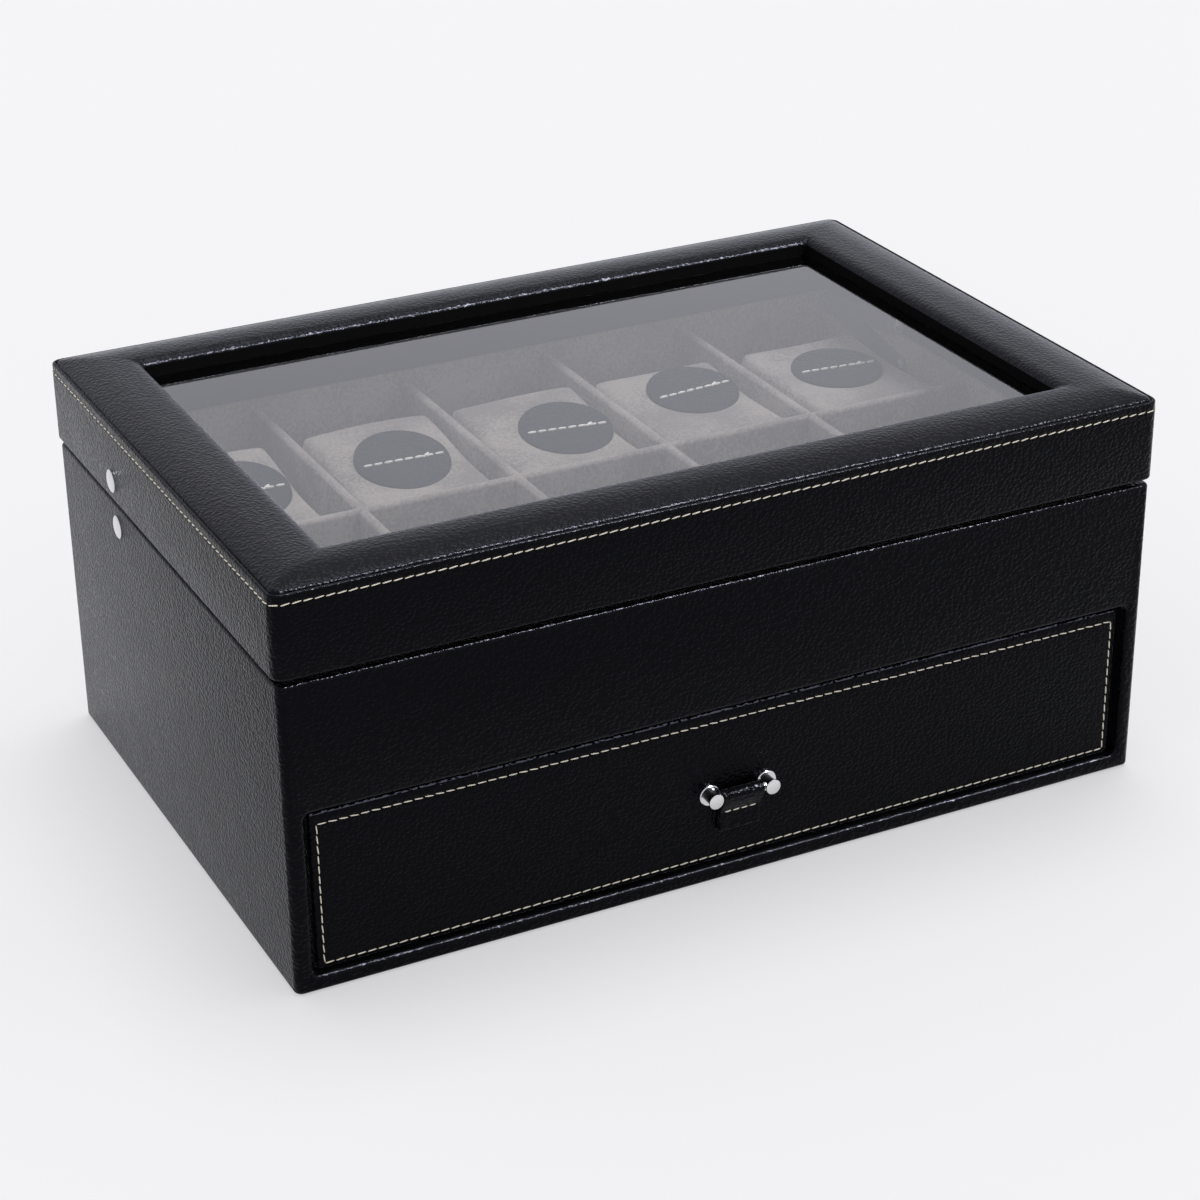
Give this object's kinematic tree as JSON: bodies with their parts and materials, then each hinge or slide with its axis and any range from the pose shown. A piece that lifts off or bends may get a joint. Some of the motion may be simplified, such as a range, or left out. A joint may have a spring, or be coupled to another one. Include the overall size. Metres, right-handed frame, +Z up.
{
  "type": "watch valet",
  "caption": "Leather-covered watch case with a hinged glass lid over a divided tray of lift-out watch cushions, and a shallow drawer in the base.",
  "frame": {"origin": "on the standing surface, under the middle of the box that encloses the whole valet in X, and the middle of the case in Y", "axes": "+Z up, +X to the viewer's right along the front, +Y from the drawer's front to the hinges at the back"},
  "size_m": [0.3036, 0.2076, 0.1351],
  "materials": {
    "leatherette": "black pebbled leatherette, satin",
    "velvet": "short grey velvet pile",
    "board": "fibreboard faced with black paper",
    "glass": "clear float glass, polished",
    "nickel": "polished nickel plate",
    "steel": "nickel-plated steel, satin",
    "felt": "black felt",
    "thread": "cream sewing thread, used for the stitches of the finished look"
  },
  "bodies": {
    "case": {"case_side_left": "board", "case_side_right": "board", "case_back": "board", "case_bottom": "board", "case_front_rail": "board", "tray_floor": "board", "case_cover": "leatherette", "base_felt": "felt", "tray_liner": "velvet", "divider_long": "velvet", "divider_cross_1": "velvet", "divider_cross_2": "velvet", "divider_cross_3": "velvet", "divider_cross_4": "velvet", "hinge_case_leaves": "steel", "hinge_pins": "steel", "case_rivets": "nickel"},
    "lid": {"lid_wall_frame": "board", "lid_top_frame": "board", "lid_cover": "leatherette", "lid_pad": "leatherette", "lid_glass": "glass", "glass_retainer": "velvet", "lid_liner": "velvet", "hinge_lid_leaves": "steel", "lid_rivets": "nickel"},
    "stay_lower_left": {"stay_lower_left": "steel"},
    "stay_lower_right": {"stay_lower_right": "steel"},
    "stay_upper_left": {"stay_upper_left": "steel"},
    "stay_upper_right": {"stay_upper_right": "steel"},
    "drawer": {"drawer_front": "board", "drawer_front_cover": "leatherette", "drawer_side_left": "board", "drawer_side_right": "board", "drawer_back": "board", "drawer_bottom": "board", "drawer_liner": "velvet", "pull_posts": "nickel", "pull_bar": "nickel"},
    "pull_tab": {"pull_tab": "leatherette"},
    "cushion_back_1": {"cushion_back_1": "velvet", "round_back_1": "leatherette"},
    "cushion_back_2": {"cushion_back_2": "velvet", "round_back_2": "leatherette"},
    "cushion_back_3": {"cushion_back_3": "velvet", "round_back_3": "leatherette"},
    "cushion_back_4": {"cushion_back_4": "velvet", "round_back_4": "leatherette"},
    "cushion_back_5": {"cushion_back_5": "velvet", "round_back_5": "leatherette"},
    "cushion_front_1": {"cushion_front_1": "velvet", "round_front_1": "leatherette"},
    "cushion_front_2": {"cushion_front_2": "velvet", "round_front_2": "leatherette"},
    "cushion_front_3": {"cushion_front_3": "velvet", "round_front_3": "leatherette"},
    "cushion_front_4": {"cushion_front_4": "velvet", "round_front_4": "leatherette"},
    "cushion_front_5": {"cushion_front_5": "velvet", "round_front_5": "leatherette"}
  },
  "joints": [
    {"name": "lid_hinge", "type": "hinge", "parent": "case", "child": "lid", "pos_m": [0, 0.1026, 0.1046], "axis": [-1, 0, 0], "range_deg": [0, 90]},
    {"name": "stay_lower_left_swing", "type": "hinge", "parent": "case", "child": "stay_lower_left", "pos_m": [-0.14305, 0.04, 0.09645], "axis": [1, 0, 0], "range_deg": [0, 27.88]},
    {"name": "stay_upper_left_swing", "type": "hinge", "parent": "lid", "child": "stay_upper_left", "pos_m": [-0.14175, 0.04, 0.11275], "axis": [-1, 0, 0], "range_deg": [0, 27.88]},
    {"name": "stay_lower_right_swing", "type": "hinge", "parent": "case", "child": "stay_lower_right", "pos_m": [0.14305, 0.04, 0.09645], "axis": [1, 0, 0], "range_deg": [0, 27.88]},
    {"name": "stay_upper_right_swing", "type": "hinge", "parent": "lid", "child": "stay_upper_right", "pos_m": [0.14175, 0.04, 0.11275], "axis": [-1, 0, 0], "range_deg": [0, 27.88]},
    {"name": "drawer_slide", "type": "slide", "parent": "case", "child": "drawer", "axis": [0, -1, 0], "range_m": [0, 0.15]},
    {"name": "pull_tab_swing", "type": "hinge", "parent": "drawer", "child": "pull_tab", "pos_m": [0, -0.101, 0.0305], "axis": [-1, 0, 0], "range_deg": [0, 90]},
    {"name": "cushion_back_1_lift", "type": "slide", "parent": "case", "child": "cushion_back_1", "axis": [0, 0, 1], "range_m": [0, 0.018]},
    {"name": "cushion_back_2_lift", "type": "slide", "parent": "case", "child": "cushion_back_2", "axis": [0, 0, 1], "range_m": [0, 0.018]},
    {"name": "cushion_back_3_lift", "type": "slide", "parent": "case", "child": "cushion_back_3", "axis": [0, 0, 1], "range_m": [0, 0.018]},
    {"name": "cushion_back_4_lift", "type": "slide", "parent": "case", "child": "cushion_back_4", "axis": [0, 0, 1], "range_m": [0, 0.018]},
    {"name": "cushion_back_5_lift", "type": "slide", "parent": "case", "child": "cushion_back_5", "axis": [0, 0, 1], "range_m": [0, 0.018]},
    {"name": "cushion_front_1_lift", "type": "slide", "parent": "case", "child": "cushion_front_1", "axis": [0, 0, 1], "range_m": [0, 0.018]},
    {"name": "cushion_front_2_lift", "type": "slide", "parent": "case", "child": "cushion_front_2", "axis": [0, 0, 1], "range_m": [0, 0.018]},
    {"name": "cushion_front_3_lift", "type": "slide", "parent": "case", "child": "cushion_front_3", "axis": [0, 0, 1], "range_m": [0, 0.018]},
    {"name": "cushion_front_4_lift", "type": "slide", "parent": "case", "child": "cushion_front_4", "axis": [0, 0, 1], "range_m": [0, 0.018]},
    {"name": "cushion_front_5_lift", "type": "slide", "parent": "case", "child": "cushion_front_5", "axis": [0, 0, 1], "range_m": [0, 0.018]}
  ],
  "couplings": [
    {"joint": "stay_lower_left_swing", "follows": "lid_hinge", "ratio": 0.30968},
    {"joint": "stay_upper_left_swing", "follows": "lid_hinge", "ratio": 0.30968},
    {"joint": "stay_lower_right_swing", "follows": "lid_hinge", "ratio": 0.30968},
    {"joint": "stay_upper_right_swing", "follows": "lid_hinge", "ratio": 0.30968}
  ]
}
